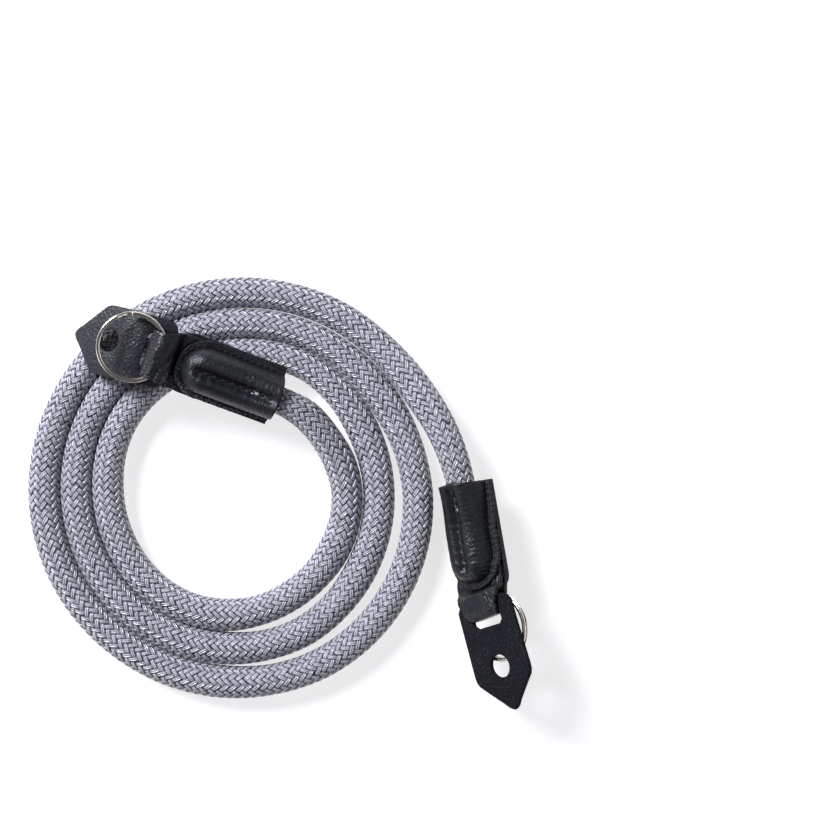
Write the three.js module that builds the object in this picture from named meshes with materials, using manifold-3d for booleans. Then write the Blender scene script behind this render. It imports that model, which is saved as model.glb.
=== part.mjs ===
import * as THREE from 'three';
import { mergeVertices } from 'three/addons/utils/BufferGeometryUtils.js';
import Module from 'manifold-3d';

// Coiled camera neck strap: a braided rope lying in a flat coil of a little over three turns. Each
// end is held in a leather end fitting with a protector tab and a split ring. Millimetres, +Z up.

const wasm = await Module();
wasm.setup();

// Driving sizes
const ropeDiameter = 8.4;
const coilRadius = 33;
const strapThickness = 1.2;
const strapWidth = 16.4;
const loopWidth = 11;
const tuckWidth = 15;
const loopReach = 9.4;
const coverLength = 26.8;
const coverThickness = 1.1;
const mouthSlack = 0.5;
const coverWidth = 12.5;
const coverHeight = 7.6;
const coverLip = 1.7;
const coverEndLip = 1.3;
const grooveDepth = 1.7;
const grooveHalfWidth = 1.3;
const tabThickness = 1.3;
const tabLength = 30;
const tabWidth = 19;
const tabHoleDiameter = 6.2;
const tabHoleAlong = 0.603;
const ringDiameter = 18.6;
const ringWire = 1.1;
const ringCoilThickness = 0.8;
const seatGap = 0.25;
const turnGap = 0.15;

// Derived sizes
const ropeRadius = ropeDiameter / 2;
const coilStep = ringCoilThickness + 0.1;
const ringThickness = coilStep + ringCoilThickness;
const coverBottom = strapThickness + seatGap;
const mouthHalfWidth = ropeRadius + seatGap + coverThickness + mouthSlack;
const mouthHeight = ropeDiameter + seatGap + coverThickness;
const ropeEndX = coverLength - 4.7;
const foldX = coverLength + loopReach - strapThickness / 2;
const foldRadius = strapThickness * 0.9;
const loopStack = 2 * strapThickness + tabThickness + ringThickness + 3 * seatGap;
const loopTopZ = loopStack - strapThickness / 2;
const tuckZ = strapThickness * 1.5 + seatGap;
const slotLength = strapThickness + 2.9;
const slotWidth = 9.8;
const slotSlack = 0.4;
const tabBar = 3.2;

// The coil, one row for each twelfth of a turn, going round clockwise from the mouth of the inner
// end. inner is the radius of the first turn as a share of the coil radius. toSecond and toThird
// are the steps out to the next turns as shares of the rope diameter.
const coilRows = [
  { turn: 0, inner: 0.859, toSecond: 1.268, toThird: 0.935 },
  { turn: 30, inner: 0.895, toSecond: 1.155, toThird: 1.06 },
  { turn: 60, inner: 0.959, toSecond: 1.024, toThird: 1.25 },
  { turn: 90, inner: 0.985, toSecond: 1.077, toThird: 1.31 },
  { turn: 120, inner: 1.005, toSecond: 1.196, toThird: 1.179 },
  { turn: 150, inner: 1.03, toSecond: 1.065, toThird: 1.077 },
  { turn: 180, inner: 1.021, toSecond: 1.012, toThird: 1.03 },
  { turn: 210, inner: 0.997, toSecond: 1.012, toThird: 1.048 },
  { turn: 240, inner: 1.0, toSecond: 1.006, toThird: 1.03 },
  { turn: 270, inner: 1.036, toSecond: 0.964, toThird: 0.976 },
  { turn: 300, inner: 1.064, toSecond: 0.988, toThird: 0.97 },
  { turn: 330, inner: 1.109, toSecond: 0.97, toThird: 0.988 },
];

// The lead out of the coil to the outer end, as steps out from the third turn.
const leadOutRows = [
  { turn: 0, step: 0.982 },
  { turn: 30, step: 1.065 },
  { turn: 45, step: 1.24 },
  { turn: 57, step: 1.37 },
];

// Where the two end fittings sit. height is that of the rope's centre in the mouth, swing turns the
// loop of the strap sideways past its cover, and tabLean moves the tab sideways as it droops.
const endA = {
  mouthTurn: -2.8,
  mouthRadius: coilRadius * 0.836,
  height: ropeDiameter * 1.47,
  heading: 159.3,
  pitch: 13,
  roll: -8,
  mouthShift: 0,
  swing: 2.5,
  slotFront: strapThickness / 2 + 0.8,
  tabTurn: 1.5,
  tabLean: -0.24,
  ringReach: 4.4,
  ringShift: 0.1,
};
const endB = {
  mouthTurn: 56.5,
  mouthRadius: coilRadius * 0.945 + ropeDiameter * 3.67,
  height: ropeDiameter * 1.33,
  heading: -80.3,
  pitch: 5,
  roll: 41.5,
  mouthShift: 1.6,
  swing: 10.8,
  slotFront: strapThickness / 2 + 2.2,
  tabTurn: -3,
  tabLean: 0,
  ringReach: 3.5,
  ringShift: 1.2,
};

// Slope of the tab along its length, from its back edge to its tip, in degrees.
const tabSlopesA = [
  { at: 0, slope: 0 },
  { at: 0.26, slope: 0 },
  { at: 0.34, slope: -27 },
  { at: 0.42, slope: -40 },
  { at: 0.8, slope: -40 },
  { at: 1, slope: -42 },
];
const tabSlopesB = [
  { at: 0, slope: 0 },
  { at: 0.6, slope: 0 },
  { at: 0.8, slope: -5 },
  { at: 1, slope: -12 },
];

const startAngle = 58;
const turnStep = 15;
const wholeTurns = 3;

function coilPoint(turnAngle, radius, height) {
  const angle = THREE.MathUtils.degToRad(startAngle - turnAngle);
  return new THREE.Vector3(radius * Math.cos(angle), radius * Math.sin(angle), height);
}

function blendRows(rows, key, column, value) {
  const last = rows.length - 1;
  if (value <= rows[0][key]) return rows[0][column];
  if (value >= rows[last][key]) return rows[last][column];
  const next = rows.findIndex((row) => row[key] > value);
  const from = rows[next - 1];
  const share = (value - from[key]) / (rows[next][key] - from[key]);
  return from[column] + (rows[next][column] - from[column]) * share;
}

function smoothStep(share) {
  const t = THREE.MathUtils.clamp(share, 0, 1);
  return t * t * (3 - 2 * t);
}

// Radii of the rope's centre at each row of the table, turn after turn.
function coilKnots() {
  const knots = [];
  for (let turn = 0; turn < wholeTurns; turn += 1) {
    for (const row of coilRows) {
      const steps = [0, row.toSecond, row.toSecond + row.toThird];
      const radius = coilRadius * row.inner + ropeDiameter * steps[turn];
      knots.push({ turn: 360 * turn + row.turn, radius });
    }
  }
  for (const lead of leadOutRows) {
    const base = outerRadius(lead.turn);
    knots.push({ turn: 360 * wholeTurns + lead.turn, radius: base + ropeDiameter * lead.step });
  }
  return knots;
}

function outerRadius(turn) {
  const inner = blendRows(coilRows, 'turn', 'inner', turn);
  const second = blendRows(coilRows, 'turn', 'toSecond', turn);
  const third = blendRows(coilRows, 'turn', 'toThird', turn);
  return coilRadius * inner + ropeDiameter * (second + third);
}

const knots = coilKnots();
const radiusCurve = new THREE.CatmullRomCurve3(
  knots.map((knot) => new THREE.Vector3(knot.turn, knot.radius, 0)),
);

// The knots are a twelfth of a turn apart up to the lead out, so the radius between two of them
// follows from their own smooth curve.
function radiusAt(turn) {
  const last = knots.length - 1;
  let low = 0;
  while (low < last - 1 && knots[low + 1].turn <= turn) low += 1;
  const share = (turn - knots[low].turn) / (knots[low + 1].turn - knots[low].turn);
  return radiusCurve.getPoint((low + share) / last).y;
}

// The rope lies on the ground and lifts towards each end fitting.
function heightAt(turn) {
  const endTurn = 360 * wholeTurns + endB.mouthTurn;
  const leave = Math.max(0, 1 - turn / 95);
  const arrive = smoothStep((turn - endTurn + 52) / 52);
  const liftA = (endA.height - ropeRadius) * leave * leave;
  const liftB = (endB.height - ropeRadius) * arrive;
  return ropeRadius + liftA + liftB;
}

// Neighbouring turns press the soft rope a little narrower.
function widthAt(turn) {
  const endTurn = 360 * wholeTurns + endB.mouthTurn;
  const here = radiusAt(turn);
  let room = ropeDiameter;
  if (turn >= 360) room = Math.min(room, here - radiusAt(turn - 360) - turnGap);
  if (turn <= endTurn - 360) room = Math.min(room, radiusAt(turn + 360) - here - turnGap);
  return room;
}

function endFrame(end, turns) {
  const mouth = coilPoint(turns + end.mouthTurn, end.mouthRadius, end.height);
  const turned = new THREE.Matrix4().makeRotationZ(THREE.MathUtils.degToRad(end.heading));
  turned.multiply(new THREE.Matrix4().makeRotationY(THREE.MathUtils.degToRad(-end.pitch)));
  turned.multiply(new THREE.Matrix4().makeRotationX(THREE.MathUtils.degToRad(end.roll)));
  const ropeCentre = strapThickness + seatGap + ropeRadius;
  const toMouth = new THREE.Matrix4().makeTranslation(0, -end.mouthShift, -ropeCentre);
  const place = new THREE.Matrix4().makeTranslation(mouth.x, mouth.y, mouth.z);
  return place.multiply(turned).multiply(toMouth);
}

// Solids

function loft(rings) {
  const count = rings[0].length;
  const positions = rings.flat().flatMap((point) => [point.x, point.y, point.z]);
  const faces = [];
  for (let ring = 0; ring < rings.length - 1; ring += 1) {
    for (let side = 0; side < count; side += 1) {
      const next = (side + 1) % count;
      const a = ring * count + side;
      const b = ring * count + next;
      const c = a + count;
      const d = b + count;
      faces.push(a, b, d, a, d, c);
    }
  }
  const ends = [rings[0], rings[rings.length - 1]];
  ends.forEach((ring, which) => {
    const centre = new THREE.Vector3();
    ring.forEach((point) => centre.add(point));
    centre.divideScalar(count);
    const hub = positions.length / 3;
    positions.push(centre.x, centre.y, centre.z);
    const first = which === 0 ? 0 : (rings.length - 1) * count;
    for (let side = 0; side < count; side += 1) {
      const next = (side + 1) % count;
      if (which === 0) faces.push(hub, first + next, first + side);
      else faces.push(hub, first + side, first + next);
    }
  });
  const geometry = new THREE.BufferGeometry();
  geometry.setAttribute('position', new THREE.Float32BufferAttribute(positions, 3));
  geometry.setIndex(signedVolume(positions, faces) < 0 ? faces.slice().reverse() : faces);
  return geometry;
}

function signedVolume(positions, faces) {
  const corner = (index) => new THREE.Vector3().fromArray(positions, index * 3);
  let volume = 0;
  for (let face = 0; face < faces.length; face += 3) {
    const a = corner(faces[face]);
    const b = corner(faces[face + 1]);
    const c = corner(faces[face + 2]);
    volume += a.dot(b.cross(c)) / 6;
  }
  return volume;
}

function toSolid(geometry) {
  const plain = new THREE.BufferGeometry();
  plain.setAttribute('position', geometry.getAttribute('position').clone());
  if (geometry.index) plain.setIndex(geometry.index.clone());
  const merged = mergeVertices(plain, 1e-4);
  const mesh = new wasm.Mesh({
    numProp: 3,
    vertProperties: new Float32Array(merged.getAttribute('position').array),
    triVerts: new Uint32Array(merged.index.array),
  });
  return new wasm.Manifold(mesh);
}

function toGeometry(manifold) {
  const mesh = manifold.getMesh();
  const geometry = new THREE.BufferGeometry();
  geometry.setAttribute('position', new THREE.Float32BufferAttribute(mesh.vertProperties, 3));
  geometry.setIndex(Array.from(mesh.triVerts));
  return geometry;
}

// A dome section: flat below, rounded above, with a dip along its middle.
function domeRing(x, middle, halfWidth, height, dip, bottom) {
  const steps = 18;
  const squareness = 3;
  const ring = [];
  for (let step = 0; step <= steps; step += 1) {
    const angle = (Math.PI * step) / steps;
    const across = Math.cos(angle);
    const y = halfWidth * Math.sign(across) * Math.abs(across) ** (2 / squareness);
    const rise = height * Math.max(0, Math.sin(angle)) ** (2 / squareness);
    const z = bottom + rise - dip * Math.exp(-((y / grooveHalfWidth) ** 2));
    ring.push(new THREE.Vector3(x, middle + y, Math.max(z, bottom)));
  }
  return ring;
}

// Half width, height and groove of the cover along its length, as shares of its full sizes.
const coverRows = [
  { at: 0, width: 0, height: 0, groove: 0.25 },
  { at: 0.1, width: 0.25, height: 0.3, groove: 0.8 },
  { at: 0.25, width: 0.8, height: 0.75, groove: 1 },
  { at: 0.38, width: 1, height: 1, groove: 1 },
  { at: 0.82, width: 1, height: 1, groove: 1 },
  { at: 0.88, width: 1, height: 1, groove: 0.25 },
  { at: 0.92, width: 1, height: 1, groove: 0 },
  { at: 1, width: 1, height: 1, groove: 0 },
];

const coverStations = [
  0, 0.06, 0.12, 0.2, 0.3, 0.4, 0.55, 0.7, 0.78, 0.84, 0.88, 0.92, 0.95, 0.975, 0.992,
];

function coverSection(x) {
  const at = x / coverLength;
  const widthShare = blendRows(coverRows, 'at', 'width', at);
  const heightShare = blendRows(coverRows, 'at', 'height', at);
  const halfWidth = mouthHalfWidth + (coverWidth / 2 - mouthHalfWidth) * widthShare;
  const height = mouthHeight + (coverHeight - mouthHeight) * heightShare;
  const dip = grooveDepth * blendRows(coverRows, 'at', 'groove', at);
  return { halfWidth, height, dip };
}

// A rope that enters off the middle of its strap comes back to the middle by mid length.
function middleY(x, mouthShift) {
  return mouthShift * (1 - smoothStep(x / (coverLength * 0.5)));
}

const roundStart = coverLength - coverWidth / 2;

function roundedEnd(x, reach) {
  const share = Math.max(0, (x - roundStart) / (coverLength + reach - roundStart));
  return Math.sqrt(Math.max(0, 1 - share * share));
}

function coverSolid(mouthShift) {
  const outer = [];
  for (const station of coverStations) {
    const x = coverLength * station;
    const section = coverSection(x);
    const round = roundedEnd(x, 0);
    const crown = Math.max(0.25, round ** 0.7);
    const middle = middleY(x, mouthShift);
    const height = section.height * crown;
    outer.push(domeRing(x, middle, section.halfWidth * round, height, section.dip, 0));
  }
  const inner = [];
  const hollow = coverStations.filter((station) => coverLength * station < ropeEndX + 0.8);
  for (const station of [-1, ...hollow]) {
    const x = coverLength * station;
    const section = coverSection(x);
    const close = roundedEnd(x, -coverThickness);
    const width = (section.halfWidth - coverThickness) * close;
    const height = (section.height - coverThickness) * Math.max(0.3, close ** 0.7) + 1;
    inner.push(domeRing(x, middleY(x, mouthShift), width, height, section.dip, -1));
  }
  let cover = toSolid(loft(outer)).add(toSolid(lipPlate(coverThickness, mouthShift)));
  const raised = strapThickness + seatGap + coverThickness;
  const tuckHalf = tuckWidth / 2 + seatGap;
  const over = prism(boxShape(roundStart + 1, coverLength + coverEndLip + 1, tuckHalf + 1), 0, raised);
  cover = cover.add(toSolid(lipPlate(raised, mouthShift)).intersect(over));
  const pocket = boxShape(coverLength - 5, coverLength + coverEndLip + 3, tuckHalf);
  cover = cover.subtract(prism(pocket, -1, strapThickness + seatGap));
  cover = cover.subtract(toSolid(loft(inner)));
  return cover.translate([0, 0, coverBottom]);
}

// Outline of the cover's stitched lip, seen from above.
function lipPlate(height, mouthShift) {
  const outline = [];
  const steps = 14;
  const edgeAt = (step, side) => {
    const x = (roundStart * step) / 6;
    const half = coverSection(x).halfWidth + coverLip;
    return new THREE.Vector2(x, middleY(x, mouthShift) + side * half);
  };
  for (let step = 0; step <= 6; step += 1) outline.push(edgeAt(step, 1));
  const radiusX = coverLength + coverEndLip - roundStart;
  const radiusY = coverWidth / 2 + coverLip;
  for (let step = 1; step < steps; step += 1) {
    const angle = Math.PI / 2 - (Math.PI * step) / steps;
    outline.push(
      new THREE.Vector2(roundStart + radiusX * Math.cos(angle), radiusY * Math.sin(angle)),
    );
  }
  for (let step = 6; step >= 0; step -= 1) outline.push(edgeAt(step, -1));
  const shape = new THREE.Shape(outline);
  return new THREE.ExtrudeGeometry(shape, { depth: height, bevelEnabled: false, steps: 1 });
}

function boxShape(fromX, toX, halfWidth) {
  return new THREE.Shape([
    new THREE.Vector2(fromX, -halfWidth),
    new THREE.Vector2(toX, -halfWidth),
    new THREE.Vector2(toX, halfWidth),
    new THREE.Vector2(fromX, halfWidth),
  ]);
}

function prism(shape, fromZ, toZ) {
  const geometry = new THREE.ExtrudeGeometry(shape, {
    depth: toZ - fromZ,
    bevelEnabled: false,
    curveSegments: 24,
  });
  geometry.translate(0, 0, fromZ);
  return toSolid(geometry);
}

// Side path of the loop strap: along under the rope, up through the slot of the tab, back over
// the ring and down under the rounded end of the cover.
function strapPath(tabTop) {
  const low = strapThickness / 2;
  const path = [];
  for (const share of [0, 0.25, 0.5, 0.7, 0.82, 0.92, 1]) {
    path.push({ x: coverLength * share, z: low });
  }
  path.push({ x: coverLength + 1.5, z: low });
  path.push({ x: coverLength + 3, z: low });
  path.push({ x: coverLength + 4.5, z: low });
  path.push({ x: foldX - foldRadius - 0.8, z: low });
  const steps = 5;
  for (let step = 0; step <= steps; step += 1) {
    const angle = (Math.PI / 2) * (step / steps);
    path.push({
      x: foldX - foldRadius + foldRadius * Math.sin(angle),
      z: low + foldRadius - foldRadius * Math.cos(angle),
    });
  }
  path.push({ x: foldX, z: Math.min(tabTop + 0.4, loopTopZ - foldRadius - 0.1) });
  for (let step = 0; step <= steps; step += 1) {
    const angle = (Math.PI / 2) * (step / steps);
    path.push({
      x: foldX - foldRadius + foldRadius * Math.cos(angle),
      z: loopTopZ - foldRadius + foldRadius * Math.sin(angle),
    });
  }
  const downFrom = coverLength + coverEndLip + 2;
  const downTo = coverLength + coverEndLip + 0.1;
  for (let step = 0; step <= 8; step += 1) {
    const share = step / 8;
    const x = downFrom + (downTo - downFrom) * share;
    path.push({ x, z: loopTopZ + (tuckZ - loopTopZ) * smoothStep(share) });
  }
  path.push({ x: coverLength - 4.4, z: tuckZ });
  return path;
}

function strapHalfWidth(x) {
  const shoulder = smoothStep((x - coverLength + 2) / 8);
  return strapWidth / 2 + (loopWidth / 2 - strapWidth / 2) * shoulder;
}

function tuckHalfWidth(x) {
  const shoulder = smoothStep((x - coverLength - coverEndLip) / 6);
  return tuckWidth / 2 + (loopWidth / 2 - tuckWidth / 2) * shoulder;
}

// The strap is gathered narrower where it stands in the slot of the tab.
function gathered(point, tabTop) {
  if (point.x < foldX - foldRadius - 0.01) return 0;
  const enter = smoothStep((point.z - strapThickness / 2) / (strapThickness / 3));
  const leave = smoothStep((point.z - tabTop - 0.45) / 0.3);
  return enter * (1 - leave);
}

// Past the cover, the loop with its tab and ring swings a little to one side.
function swingPoint(point, swing) {
  if (point.x <= coverLength) return point;
  const angle = THREE.MathUtils.degToRad(swing) * smoothStep((point.x - coverLength) / 3);
  const reach = point.x - coverLength;
  return new THREE.Vector3(
    coverLength + reach * Math.cos(angle) - point.y * Math.sin(angle),
    reach * Math.sin(angle) + point.y * Math.cos(angle),
    point.z,
  );
}

function swingSolid(manifold, swing) {
  return manifold.translate([-coverLength, 0, 0]).rotate([0, 0, swing]).translate([coverLength, 0, 0]);
}

function strapSolid(tabTop, swing) {
  const path = strapPath(tabTop);
  const rings = path.map((point, index) => {
    const before = path[Math.max(0, index - 1)];
    const after = path[Math.min(path.length - 1, index + 1)];
    const run = new THREE.Vector2(after.x - before.x, after.z - before.z).normalize();
    const isUnder = point.z < tuckZ;
    const free = isUnder ? strapHalfWidth(point.x) : tuckHalfWidth(point.x);
    const half = free + (slotWidth / 2 - slotSlack - free) * gathered(point, tabTop);
    const corners = [[half, 1], [-half, 1], [-half, -1], [half, -1]];
    return corners.map(([y, side]) => {
      const away = (side * strapThickness) / 2;
      const corner = new THREE.Vector3(point.x - run.y * away, y, point.z + run.x * away);
      return swingPoint(corner, swing);
    });
  });
  return toSolid(loft(rings));
}

// Half of the tab's outline from its back edge to its tip, as shares of its length and half width.
const tabOutline = [
  { along: 0, half: 0.7 },
  { along: 0.017, half: 0.86 },
  { along: 0.06, half: 0.965 },
  { along: 0.64, half: 1 },
  { along: 0.69, half: 0.985 },
  { along: 0.73, half: 0.93 },
  { along: 0.93, half: 0.27 },
  { along: 0.97, half: 0.16 },
  { along: 0.99, half: 0.07 },
  { along: 1, half: 0 },
];

// The tab's side profile, followed along its length from the given slopes.
function tabProfile(slopes, backX) {
  const steps = 24;
  const path = [{ along: 0, x: backX, z: 0, slope: 0 }];
  for (let step = 1; step <= steps; step += 1) {
    const from = path[step - 1];
    const share = (step - 0.5) / steps;
    const slope = THREE.MathUtils.degToRad(blendRows(slopes, 'at', 'slope', share));
    const length = tabLength / steps;
    path.push({
      along: from.along + length,
      x: from.x + length * Math.cos(slope),
      z: from.z + length * Math.sin(slope),
      slope,
    });
  }
  return path;
}

function tabSolid(slopes, middleZ, end) {
  const slotBackX = foldX + end.slotFront - slotLength;
  const path = tabProfile(slopes, slotBackX - tabBar);
  const faceAt = (p, half) => {
    return new THREE.Vector2(p.x - half * Math.sin(p.slope), p.z + half * Math.cos(p.slope));
  };
  const top = path.map((p) => faceAt(p, tabThickness / 2));
  const bottom = path.map((p) => faceAt(p, -tabThickness / 2));
  const side = new THREE.Shape([...bottom, ...top.reverse()]);
  const strip = new THREE.ExtrudeGeometry(side, { depth: tabWidth + 2, bevelEnabled: false });
  strip.translate(0, 0, -tabWidth / 2 - 1);
  strip.rotateX(Math.PI / 2);

  const flatX = (along) => blendRows(path, 'along', 'x', along);
  const halfOutline = tabOutline.map((row) => {
    return new THREE.Vector2(flatX(tabLength * row.along), (tabWidth / 2) * row.half);
  });
  const right = halfOutline.map((point) => new THREE.Vector2(point.x, -point.y));
  const plan = new THREE.Shape([...right, ...halfOutline.slice(0, -1).reverse()]);
  plan.holes.push(slotPath(flatX, tabBar, tabBar + slotLength));
  plan.holes.push(holePath(flatX));
  const tab = toSolid(strip).intersect(prism(plan, -40, 40));
  const lean = new THREE.Matrix4().makeShear(0, 0, 0, 0, 0, end.tabLean);
  const turned = tab.transform(lean.elements).translate([-foldX, 0, 0]).rotate([0, 0, end.tabTurn]);
  return swingSolid(turned.translate([foldX, 0, middleZ]), end.swing);
}

function slotPath(flatX, from, to) {
  const half = slotWidth / 2;
  const corner = slotWidth / 10;
  const points = [
    [from, half - corner],
    [from + corner, half],
    [to - corner, half],
    [to, half - corner],
    [to, -half + corner],
    [to - corner, -half],
    [from + corner, -half],
    [from, -half + corner],
  ];
  return new THREE.Path(points.map(([along, y]) => new THREE.Vector2(flatX(along), y)));
}

function holePath(flatX) {
  const centre = tabLength * tabHoleAlong;
  const points = [];
  const steps = 24;
  for (let step = 0; step < steps; step += 1) {
    const angle = (2 * Math.PI * step) / steps;
    const along = centre + (tabHoleDiameter / 2) * Math.cos(angle);
    points.push(new THREE.Vector2(flatX(along), (tabHoleDiameter / 2) * Math.sin(angle)));
  }
  return new THREE.Path(points);
}

// A split ring: flat wire wound twice, stepping up once beside its two ends.
function ringSolid(endAngle) {
  const middle = (ringDiameter - ringWire) / 2;
  const ramp = 0.3;
  const whole = 4 * Math.PI - ramp - 0.12;
  const steps = 92;
  const rings = [];
  for (let step = 0; step <= steps; step += 1) {
    const wound = (whole * step) / steps;
    const angle = THREE.MathUtils.degToRad(endAngle) + wound;
    const rise = coilStep * smoothStep((wound - 2 * Math.PI + ramp) / ramp);
    const out = new THREE.Vector3(Math.cos(angle), Math.sin(angle), 0);
    const half = ringWire / 2;
    const flat = ringCoilThickness / 2;
    const section = [[half, -flat], [half, flat], [-half, flat], [-half, -flat]];
    rings.push(
      section.map(([across, up]) =>
        out.clone().multiplyScalar(middle + across).setZ(rise + flat + up),
      ),
    );
  }
  return toSolid(loft(rings));
}

// The rope's flattened section inside a cover.
function ropeSection(x) {
  const section = coverSection(Math.max(0, x));
  const close = roundedEnd(x, -coverThickness - seatGap);
  const room = (section.height - coverThickness) * close ** 0.7 - seatGap;
  const widest = section.halfWidth - coverThickness - seatGap * 3 - mouthSlack * (1 - x / ropeEndX);
  return {
    halfWidth: Math.min(widest * close, ropeRadius * 1.35),
    halfHeight: Math.min(ropeRadius, (room - seatGap * 1.4) / 2),
    dip: section.dip,
  };
}

function ropeRing(centre, along, up, section) {
  const sides = 12;
  const across = new THREE.Vector3().crossVectors(up, along).normalize();
  const raise = new THREE.Vector3().crossVectors(along, across).normalize();
  const ring = [];
  for (let side = 0; side < sides; side += 1) {
    const angle = (2 * Math.PI * side) / sides;
    const y = section.halfWidth * Math.cos(angle);
    const dip = side < sides / 2 ? section.dip * Math.exp(-((y / grooveHalfWidth) ** 2)) : 0;
    const z = section.halfHeight * Math.sin(angle) - dip;
    ring.push(centre.clone().addScaledVector(across, y).addScaledVector(raise, z));
  }
  return ring;
}

function ropeSolid(frameA, frameB) {
  const stations = [];
  const endX = [1, 0.82, 0.6, 0.42, 0.25, 0.12, 0].map((share) => share * ropeEndX);
  const addEnd = (frame, mouthShift, positions) => {
    for (const x of positions) {
      const section = ropeSection(x);
      const z = strapThickness + seatGap + section.halfHeight;
      const y = middleY(x, mouthShift);
      const centre = new THREE.Vector3(x, y, z).applyMatrix4(frame);
      const up = new THREE.Vector3(0, 0, 1).transformDirection(frame);
      stations.push({ centre, up, section });
    }
  };
  addEnd(frameA, endA.mouthShift, endX);
  const upA = stations[0].up;
  const upB = new THREE.Vector3(0, 0, 1).transformDirection(frameB);
  const lastTurn = 360 * wholeTurns + leadOutRows[2].turn;
  for (let turn = turnStep; turn <= lastTurn; turn += turnStep) {
    const nearA = 1 - smoothStep(turn / 60);
    const nearB = smoothStep((turn - lastTurn + 45) / 60);
    const up = new THREE.Vector3(0, 0, 1).lerp(upA, nearA).lerp(upB, nearB).normalize();
    const section = { halfWidth: widthAt(turn) / 2, halfHeight: ropeRadius, dip: 0 };
    stations.push({ centre: coilPoint(turn, radiusAt(turn), heightAt(turn)), up, section });
  }
  addEnd(frameB, endB.mouthShift, endX.slice().reverse());
  const rings = stations.map((station, index) => {
    const before = stations[Math.max(0, index - 1)].centre;
    const after = stations[Math.min(stations.length - 1, index + 1)].centre;
    const along = after.clone().sub(before).normalize();
    return ropeRing(station.centre, along, station.up, station.section);
  });
  return toSolid(loft(rings));
}

// Materials

function material(colour, roughness, metalness) {
  return new THREE.MeshStandardMaterial({ color: colour, roughness, metalness });
}

const group = new THREE.Group();

function addPiece(name, manifold, frame, colour, roughness, metalness) {
  const geometry = toGeometry(manifold).toNonIndexed();
  if (frame) geometry.applyMatrix4(frame);
  geometry.computeVertexNormals();
  const mesh = new THREE.Mesh(geometry, material(colour, roughness, metalness));
  mesh.name = name;
  group.add(mesh);
}

const leather = 0x23252a;
const nickel = 0xc9c6c0;
const braidGrey = 0xb4b2bb;

const frameA = endFrame(endA, 0);
const frameB = endFrame(endB, 360 * wholeTurns);

function addEndFitting(letter, end, frame, slopes, ringAbove, ringEndAngle) {
  const first = strapThickness + seatGap;
  const tabBottom = ringAbove ? first : first + ringThickness + seatGap;
  const tabMiddle = tabBottom + tabThickness / 2;
  const ringBottom = ringAbove ? first + tabThickness + seatGap : first;
  const ring = ringSolid(ringEndAngle).translate([foldX + end.ringReach, end.ringShift, ringBottom]);
  const strap = strapSolid(tabBottom + tabThickness, end.swing);
  addPiece(`rope_cover_${letter}`, coverSolid(end.mouthShift), frame, leather, 0.5, 0);
  addPiece(`loop_strap_${letter}`, strap, frame, leather, 0.6, 0);
  addPiece(`protector_tab_${letter}`, tabSolid(slopes, tabMiddle, end), frame, leather, 0.6, 0);
  addPiece(`split_ring_${letter}`, swingSolid(ring, end.swing), frame, nickel, 0.25, 1);
}

addPiece('rope', ropeSolid(frameA, frameB), null, braidGrey, 0.55, 0);
addEndFitting('a', endA, frameA, tabSlopesA, true, -47);
addEndFitting('b', endB, frameB, tabSlopesB, false, 200);

const bounds = new THREE.Box3().setFromObject(group);
const centre = bounds.getCenter(new THREE.Vector3());
group.children.forEach((mesh) => mesh.geometry.translate(-centre.x, -centre.y, -bounds.min.z));

export default group;
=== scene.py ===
import math

import bpy
import numpy as np
from mathutils import Matrix, Vector


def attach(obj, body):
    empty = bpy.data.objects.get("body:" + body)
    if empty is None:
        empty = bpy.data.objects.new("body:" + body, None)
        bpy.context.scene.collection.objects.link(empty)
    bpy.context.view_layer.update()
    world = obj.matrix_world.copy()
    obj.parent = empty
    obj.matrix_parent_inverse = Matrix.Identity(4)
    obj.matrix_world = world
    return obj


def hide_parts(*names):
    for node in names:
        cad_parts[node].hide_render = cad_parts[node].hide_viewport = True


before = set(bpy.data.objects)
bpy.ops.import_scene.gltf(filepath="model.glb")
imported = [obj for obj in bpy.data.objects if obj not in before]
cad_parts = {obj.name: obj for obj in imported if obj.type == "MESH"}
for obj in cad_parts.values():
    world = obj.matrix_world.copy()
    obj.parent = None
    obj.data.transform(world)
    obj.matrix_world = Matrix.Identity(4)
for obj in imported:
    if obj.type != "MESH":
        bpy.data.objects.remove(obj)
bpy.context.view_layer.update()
bpy.ops.object.select_all(action="DESELECT")
print("frame loaded")

mm = 0.001

# View: straight above, framed as in the photograph
viewSettings = {"above": (0.037588, 0.01935), "height": 0.42, "lens": 66.39}

cameraData = bpy.data.cameras.new("camera")
cameraData.lens = viewSettings["lens"]
cameraData.sensor_width = 36
cameraData.clip_start = 0.01
camera = bpy.data.objects.new("camera", cameraData)
camera.location = (*viewSettings["above"], viewSettings["height"])
bpy.context.scene.collection.objects.link(camera)
bpy.context.scene.camera = camera

# Route of the rope, in millimetres: the coil, then into the two covers
rope = {
    "diameter": 8.4,
    "coilRadius": 33.0,
    "coilCentre": (-13.0368, 0.0451),
    "startAngle": 58.0,
    "settleOver": 95,  # degrees of turn in which it comes down from end A
    "riseOver": 52,  # and in which it rises to end B
    "levelOver": 60,  # degrees of turn in which its section turns level
    "levelFrom": 45,
    "touching": 1.06,  # turns nearer than this many diameters touch
    "touchingBlend": 0.05,
    "press": 0.08,
    "intoCover": 22.1,
    "stationEvery": 15,
}
coverSize = {
    "length": 26.8,
    "thickness": 1.1,
    "width": 12.5,
    "height": 7.6,
    "lip": 1.7,
    "endLip": 1.3,
    "lift": 1.1,
    "groove": 2.0,
    "grooveHalf": 1.25,
    "mouthSlack": 0.5,
}
strapSize = {
    "thickness": 1.2,
    "width": 16.4,
    "loopWidth": 11.0,
    "tuckWidth": 15.0,
    "reach": 9.4,
    "gap": 0.25,
    "tabThickness": 1.3,
    "ringThickness": 1.7,
}
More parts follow.
